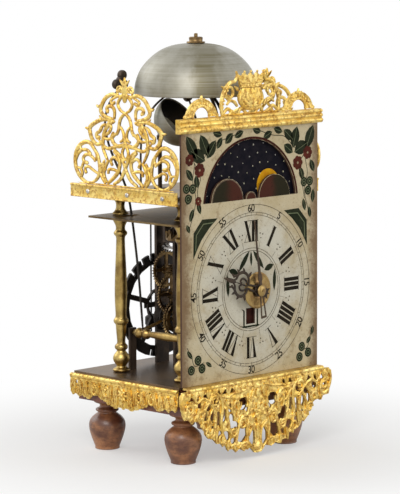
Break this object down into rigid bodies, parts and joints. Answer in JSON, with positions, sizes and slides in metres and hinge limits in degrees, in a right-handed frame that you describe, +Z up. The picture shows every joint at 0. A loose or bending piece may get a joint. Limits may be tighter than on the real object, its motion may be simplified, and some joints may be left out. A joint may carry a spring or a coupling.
{
  "type": "posted-frame chair clock",
  "caption": "Posted-frame chair clock movement on turned feet: painted arched moon dial, pierced gilt mounts, verge going train, count wheel striking on a hour bell and a small half-hour bell.",
  "frame": {"origin": "on the floor under the middle of the clock's outer box", "axes": "+X to the right seen from the front, +Y to the back, +Z up"},
  "size_m": [0.204, 0.163, 0.3902],
  "materials": {
    "oak": "waxed",
    "gilt_brass": "worn gilding",
    "brass": "aged",
    "iron": "browned",
    "painted_iron": "oil paint, aged",
    "painted_sky": "oil paint, aged",
    "bell_metal": "tarnished",
    "steel": "satin",
    "blued_steel": "satin"
  },
  "bodies": {
    "frame": {"base_board": "oak", "base_plate": "iron", "bell_nut": "brass", "bell_stand": "iron", "cornice": "gilt_brass", "crest_arches": "gilt_brass", "crest_centre": "gilt_brass", "dial_plate": "painted_iron", "feet": "oak", "front_apron": "gilt_brass", "front_bar": "iron", "gallery_plate": "iron", "half_hour_bell": "bell_metal", "half_hour_bell_bracket": "iron", "hammer_cocks": "iron", "hour_bell": "bell_metal", "middle_bar": "iron", "movement_plate": "brass", "pillar_front_left": "brass", "pillar_front_right": "brass", "pillar_nuts": "iron", "pillar_rear_left": "brass", "pillar_rear_right": "brass", "potence": "iron", "rear_bar": "iron", "side_apron_left": "gilt_brass", "side_apron_right": "gilt_brass", "side_fret_left": "gilt_brass", "side_fret_right": "gilt_brass", "side_strip_left": "gilt_brass", "side_strip_right": "gilt_brass", "strip_screws": "steel", "verge_cock": "iron"},
    "crown": {"crown_wheel": "brass"},
    "contrate": {"contrate_wheel": "brass"},
    "centre": {"centre_wheel": "brass"},
    "going_great": {"going_great_wheel": "brass", "going_great_arbor": "steel"},
    "going_pulley_body": {"going_pulley": "iron"},
    "minute": {"cannon_pinion": "steel", "minute_hand": "blued_steel"},
    "motion": {"motion_wheel": "brass"},
    "hour": {"hour_wheel": "brass", "hour_hand": "blued_steel"},
    "alarm": {"alarm_disc": "brass"},
    "moon": {"moon_disc": "painted_sky"},
    "fly_body": {"fly": "steel"},
    "warning": {"warning_wheel": "brass"},
    "second": {"strike_second_wheel": "brass"},
    "strike_great": {"strike_great_wheel": "brass", "strike_great_arbor": "steel"},
    "strike_pulley_body": {"strike_pulley": "iron"},
    "count": {"count_wheel": "iron"},
    "verge": {"verge_staff": "steel", "pendulum": "iron"},
    "hour_hammer": {"hammer_arbor": "iron", "hammer_stem": "iron", "hammer_head": "iron"},
    "small_hammer": {"half_hour_hammer": "iron"},
    "detent": {"locking_lever": "iron"}
  },
  "joints": [
    {"name": "crown_spin", "type": "hinge", "parent": "frame", "child": "crown", "pos_m": [0, 0.0185, 0.2], "axis": [0, 0, 1], "continuous": true},
    {"name": "contrate_spin", "type": "hinge", "parent": "frame", "child": "contrate", "pos_m": [0, 0, 0.177], "axis": [0, 1, 0], "continuous": true},
    {"name": "centre_spin", "type": "hinge", "parent": "frame", "child": "centre", "pos_m": [0, 0, 0.156], "axis": [0, 1, 0], "continuous": true},
    {"name": "going_great_spin", "type": "hinge", "parent": "frame", "child": "going_great", "pos_m": [0, 0, 0.11475], "axis": [0, 1, 0], "continuous": true},
    {"name": "going_pulley_wind", "type": "hinge", "parent": "going_great", "child": "going_pulley_body", "pos_m": [0, 0, 0.11475], "axis": [0, 1, 0], "continuous": true},
    {"name": "minute_spin", "type": "hinge", "parent": "frame", "child": "minute", "pos_m": [0, 0, 0.156], "axis": [0, 1, 0], "continuous": true},
    {"name": "motion_spin", "type": "hinge", "parent": "frame", "child": "motion", "pos_m": [0, 0, 0.138], "axis": [0, 1, 0], "continuous": true},
    {"name": "hour_spin", "type": "hinge", "parent": "frame", "child": "hour", "pos_m": [0, 0, 0.156], "axis": [0, 1, 0], "continuous": true},
    {"name": "alarm_set", "type": "hinge", "parent": "hour", "child": "alarm", "pos_m": [0, 0, 0.156], "axis": [0, 1, 0], "continuous": true},
    {"name": "moon_spin", "type": "hinge", "parent": "frame", "child": "moon", "pos_m": [0, 0, 0.2343], "axis": [0, 1, 0], "continuous": true},
    {"name": "fly_spin", "type": "hinge", "parent": "frame", "child": "fly_body", "pos_m": [0, 0, 0.1855], "axis": [0, 1, 0], "continuous": true},
    {"name": "warning_spin", "type": "hinge", "parent": "frame", "child": "warning", "pos_m": [0, 0, 0.1645], "axis": [0, 1, 0], "continuous": true},
    {"name": "second_spin", "type": "hinge", "parent": "frame", "child": "second", "pos_m": [0, 0, 0.14175], "axis": [0, 1, 0], "continuous": true},
    {"name": "strike_great_spin", "type": "hinge", "parent": "frame", "child": "strike_great", "pos_m": [0, 0, 0.119], "axis": [0, 1, 0], "continuous": true},
    {"name": "strike_pulley_wind", "type": "hinge", "parent": "strike_great", "child": "strike_pulley_body", "pos_m": [0, 0, 0.119], "axis": [0, 1, 0], "continuous": true},
    {"name": "count_spin", "type": "hinge", "parent": "frame", "child": "count", "pos_m": [0, 0, 0.13], "axis": [0, 1, 0], "continuous": true},
    {"name": "verge_swing", "type": "hinge", "parent": "frame", "child": "verge", "pos_m": [0, 0, 0.2076], "axis": [0, 1, 0], "range_deg": [-8, 8]},
    {"name": "hour_hammer_swing", "type": "hinge", "parent": "frame", "child": "hour_hammer", "pos_m": [-0.052, 0, 0.111], "axis": [0, 1, 0], "range_deg": [-3, 1.8]},
    {"name": "small_hammer_swing", "type": "hinge", "parent": "frame", "child": "small_hammer", "pos_m": [0.036, 0, 0.2476], "axis": [0, 1, 0], "range_deg": [-0.5, 6]},
    {"name": "detent_lift", "type": "hinge", "parent": "frame", "child": "detent", "pos_m": [0.024, 0, 0.213], "axis": [0, 1, 0], "range_deg": [0, 6]}
  ],
  "couplings": [
    {"joint": "contrate_spin", "follows": "crown_spin", "ratio": 0.2},
    {"joint": "centre_spin", "follows": "crown_spin", "ratio": -0.033333},
    {"joint": "going_great_spin", "follows": "crown_spin", "ratio": 0.0045977},
    {"joint": "motion_spin", "follows": "minute_spin", "ratio": -0.33333},
    {"joint": "hour_spin", "follows": "minute_spin", "ratio": 0.083333},
    {"joint": "moon_spin", "follows": "minute_spin", "ratio": 0.00070621},
    {"joint": "second_spin", "follows": "strike_great_spin", "ratio": -4.2},
    {"joint": "warning_spin", "follows": "strike_great_spin", "ratio": 17.64},
    {"joint": "fly_spin", "follows": "strike_great_spin", "ratio": -88.2},
    {"joint": "count_spin", "follows": "strike_great_spin", "ratio": 0.16667}
  ]
}
